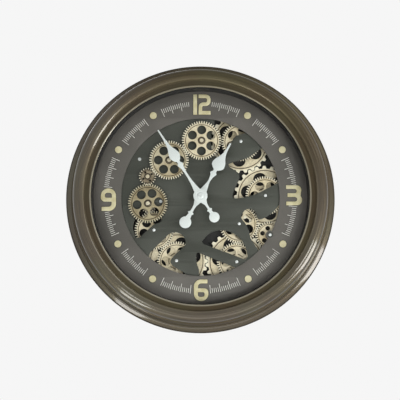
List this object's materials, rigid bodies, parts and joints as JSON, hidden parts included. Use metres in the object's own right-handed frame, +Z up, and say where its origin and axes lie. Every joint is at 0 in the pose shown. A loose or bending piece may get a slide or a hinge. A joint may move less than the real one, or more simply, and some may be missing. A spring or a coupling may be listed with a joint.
{
  "type": "gear wall clock",
  "caption": "Round wall clock with a deep moulded metal bezel, numeral ring, spade hands and a moving gear train seen through a cut-out centre plate.",
  "frame": {"origin": "the point on the wall plane where the wall screw carries the clock, at the end of the keyhole", "axes": "+Z up, +X to the right seen from the front, the clock faces -Y and the wall plane is Y = 0"},
  "size_m": [0.6, 0.0864, 0.6],
  "materials": {
    "aged_bronze": "aged bronze metallic, satin, rubbed bright on the edges",
    "black_case": "matt black",
    "gasket_rubber": "matt",
    "clear_glass": "clear float glass",
    "black_board": "black painted fibreboard",
    "zinc": "zinc plated",
    "ring_grey": "brushed warm grey",
    "plate_grey": "greenish grey, satin",
    "champagne": "champagne gold, dark wash in the recesses",
    "olive_gold": "darker olive gold, dark wash in the recesses",
    "pinion_grey": "antique grey",
    "cream_metal": "pale cream, satin",
    "bright_steel": "bright",
    "pillar_steel": "plain steel",
    "hand_silver": "pale silver, satin",
    "brass_nut": "plain",
    "black_plastic": "matt",
    "cream_plastic": "matt",
    "cell_jacket": "plain jacket, unprinted",
    "motor_can": "plated can"
  },
  "bodies": {
    "case": {"bezel": "aged_bronze", "case_liner": "black_case", "glass_gasket": "gasket_rubber", "glass": "clear_glass", "back_panel": "black_board", "back_panel_screw_1": "zinc", "back_panel_screw_2": "zinc", "back_panel_screw_3": "zinc", "back_panel_screw_4": "zinc", "hanger_plate": "zinc", "hanger_screw_1": "zinc", "hanger_screw_2": "zinc", "numeral_ring": "ring_grey", "centre_plate": "plate_grey", "stud_a": "cream_metal", "stud_b": "cream_metal", "stud_c": "cream_metal", "stud_e": "bright_steel", "stud_f": "bright_steel", "stud_g": "bright_steel", "stud_h": "bright_steel", "stud_i": "bright_steel", "stud_j": "bright_steel", "stud_k": "bright_steel", "pillar_1": "pillar_steel", "pillar_2": "pillar_steel", "pillar_3": "pillar_steel", "pillar_4": "pillar_steel", "pillar_5": "pillar_steel", "plate_screw_1": "bright_steel", "plate_screw_2": "bright_steel", "movement_case": "black_plastic", "movement_cell": "cell_jacket", "movement_nut": "brass_nut", "gear_motor": "motor_can", "battery_box": "black_plastic", "motor_cell_1": "cell_jacket", "motor_cell_2": "cell_jacket", "switch_housing": "black_plastic"},
    "train_a": {"wheel_a": "champagne"},
    "train_b": {"wheel_b": "olive_gold"},
    "train_c": {"pinion_c": "pinion_grey"},
    "train_d": {"wheel_d": "olive_gold", "arbor_d": "cream_metal"},
    "train_e": {"wheel_e": "champagne"},
    "train_f": {"wheel_f": "champagne"},
    "train_g": {"wheel_g": "champagne"},
    "train_h": {"wheel_h": "champagne"},
    "train_i": {"wheel_i": "champagne"},
    "train_j": {"wheel_j": "champagne"},
    "train_k": {"wheel_k": "champagne"},
    "motor_output": {"motor_pinion": "cream_plastic"},
    "minute": {"minute_hand": "hand_silver", "minute_arbor": "pillar_steel", "hand_cap": "hand_silver"},
    "hour": {"hour_hand": "hand_silver", "hour_pipe": "pillar_steel"},
    "knob": {"set_knob": "cream_plastic"},
    "door": {"battery_door": "black_plastic"},
    "switch": {"switch_slider": "cream_plastic"}
  },
  "joints": [
    {"name": "wheel_j_turn", "type": "hinge", "parent": "case", "child": "train_j", "pos_m": [-0.05235, 0, -0.37591], "axis": [0, 1, 0], "continuous": true},
    {"name": "wheel_a_turn", "type": "hinge", "parent": "case", "child": "train_a", "pos_m": [0.00256, 0, -0.11063], "axis": [0, 1, 0], "continuous": true},
    {"name": "wheel_b_turn", "type": "hinge", "parent": "case", "child": "train_b", "pos_m": [-0.06914, 0, -0.1544], "axis": [0, 1, 0], "continuous": true},
    {"name": "pinion_c_turn", "type": "hinge", "parent": "case", "child": "train_c", "pos_m": [-0.11621, 0, -0.19078], "axis": [0, 1, 0], "continuous": true},
    {"name": "wheel_d_turn", "type": "hinge", "parent": "case", "child": "train_d", "pos_m": [-0.11538, 0, -0.25028], "axis": [0, 1, 0], "continuous": true},
    {"name": "wheel_e_turn", "type": "hinge", "parent": "case", "child": "train_e", "pos_m": [0.08984, 0, -0.11103], "axis": [0, 1, 0], "continuous": true},
    {"name": "wheel_f_turn", "type": "hinge", "parent": "case", "child": "train_f", "pos_m": [0.14332, 0, -0.23171], "axis": [0, 1, 0], "continuous": true},
    {"name": "wheel_g_turn", "type": "hinge", "parent": "case", "child": "train_g", "pos_m": [0.15282, 0, -0.3192], "axis": [0, 1, 0], "continuous": true},
    {"name": "wheel_h_turn", "type": "hinge", "parent": "case", "child": "train_h", "pos_m": [0.08549, 0, -0.29442], "axis": [0, 1, 0], "continuous": true},
    {"name": "wheel_i_turn", "type": "hinge", "parent": "case", "child": "train_i", "pos_m": [-0.1022, 0, -0.3083], "axis": [0, 1, 0], "continuous": true},
    {"name": "wheel_k_turn", "type": "hinge", "parent": "case", "child": "train_k", "pos_m": [0.07963, 0, -0.37822], "axis": [0, 1, 0], "continuous": true},
    {"name": "motor_turn", "type": "hinge", "parent": "case", "child": "motor_output", "pos_m": [-0.05456, 0, -0.27266], "axis": [0, 1, 0], "continuous": true},
    {"name": "minute_turn", "type": "hinge", "parent": "case", "child": "minute", "pos_m": [0, 0, -0.235], "axis": [0, 1, 0], "continuous": true},
    {"name": "hour_turn", "type": "hinge", "parent": "case", "child": "hour", "pos_m": [0, 0, -0.235], "axis": [0, 1, 0], "continuous": true},
    {"name": "set_knob_turn", "type": "hinge", "parent": "case", "child": "knob", "pos_m": [0, 0, -0.223], "axis": [0, 1, 0], "continuous": true},
    {"name": "battery_door_swing", "type": "hinge", "parent": "case", "child": "door", "pos_m": [-0.074, -0.0072, -0.12005], "axis": [1, 0, 0], "range_deg": [0, 110]},
    {"name": "switch_slide", "type": "slide", "parent": "case", "child": "switch", "axis": [1, 0, 0], "range_m": [-0.004, 0]}
  ],
  "couplings": [
    {"joint": "wheel_i_turn", "follows": "wheel_j_turn", "ratio": -1},
    {"joint": "wheel_d_turn", "follows": "wheel_j_turn", "ratio": 2.4},
    {"joint": "pinion_c_turn", "follows": "wheel_j_turn", "ratio": -5.76},
    {"joint": "wheel_b_turn", "follows": "wheel_j_turn", "ratio": 2.4},
    {"joint": "wheel_a_turn", "follows": "wheel_j_turn", "ratio": -2.4},
    {"joint": "motor_turn", "follows": "wheel_j_turn", "ratio": 2.4},
    {"joint": "wheel_k_turn", "follows": "wheel_j_turn", "ratio": -1},
    {"joint": "wheel_h_turn", "follows": "wheel_j_turn", "ratio": 1},
    {"joint": "wheel_g_turn", "follows": "wheel_j_turn", "ratio": -1.4118},
    {"joint": "wheel_f_turn", "follows": "wheel_j_turn", "ratio": 0.47059},
    {"joint": "wheel_e_turn", "follows": "wheel_j_turn", "ratio": -0.47059},
    {"joint": "hour_turn", "follows": "minute_turn", "ratio": 0.083333},
    {"joint": "set_knob_turn", "follows": "minute_turn", "ratio": -1}
  ]
}
